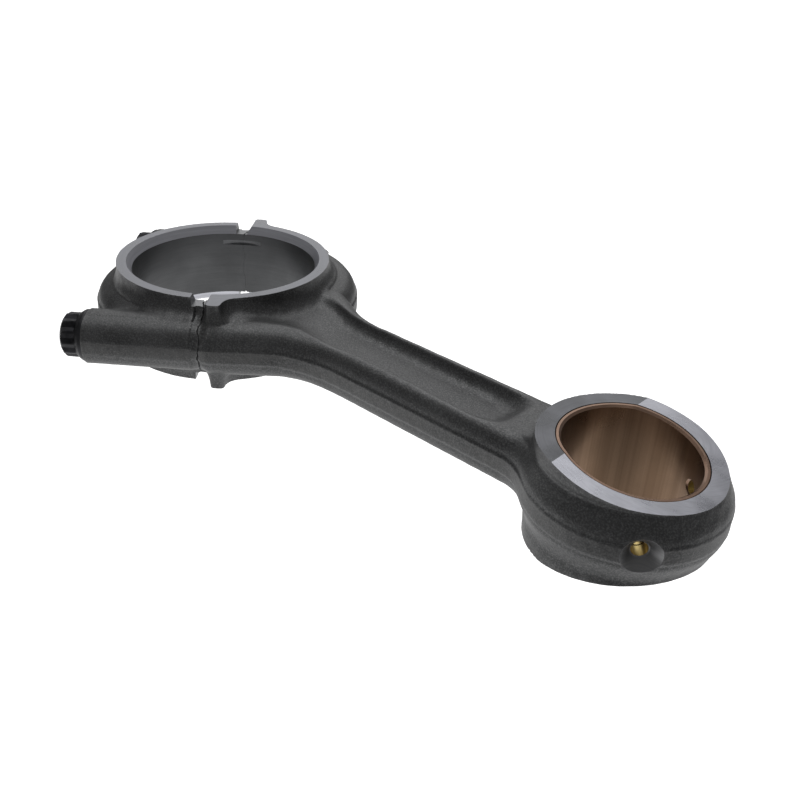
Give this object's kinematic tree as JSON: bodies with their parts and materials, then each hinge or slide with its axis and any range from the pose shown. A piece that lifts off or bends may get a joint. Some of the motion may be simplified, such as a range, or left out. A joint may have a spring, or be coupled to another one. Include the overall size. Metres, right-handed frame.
{
  "type": "connecting rod",
  "caption": "Heavy diesel connecting rod: oblique fracture-split big end with a bolted cap, pocketed I-beam shank and keystone small end with a bronze bush.",
  "frame": {"origin": "centre of the big-end bore at mid-width", "axes": "+X to the small end along the shank, +Z along both bores, +Y completes the right-handed set; the cap bolts lie in the XY plane, 40 degrees from X"},
  "size_m": [0.3962, 0.1833, 0.046],
  "materials": {
    "forged_steel": "shot-blasted dark forging with ground thrust faces and bored ends",
    "forged_steel_cap": "shot-blasted dark forging with ground thrust faces and a bored seat",
    "bush_bronze": "finely bored copper-coloured bronze",
    "bolt_black_oxide": "black oxide"
  },
  "bodies": {
    "rod": {"rod_body": "forged_steel", "small_end_bush": "bush_bronze"},
    "cap": {"bearing_cap": "forged_steel_cap"},
    "near_bolt": {"near_cap_bolt": "bolt_black_oxide"},
    "far_bolt": {"far_cap_bolt": "bolt_black_oxide"}
  },
  "joints": [
    {"name": "cap_release", "type": "slide", "parent": "rod", "child": "cap", "axis": [-0.766, -0.6428, 0], "range_m": [0, 0.08]},
    {"name": "near_bolt_withdraw", "type": "slide", "parent": "cap", "child": "near_bolt", "axis": [-0.766, -0.6428, 0], "range_m": [0, 0.11]},
    {"name": "far_bolt_withdraw", "type": "slide", "parent": "cap", "child": "far_bolt", "axis": [-0.766, -0.6428, 0], "range_m": [0, 0.11]}
  ]
}
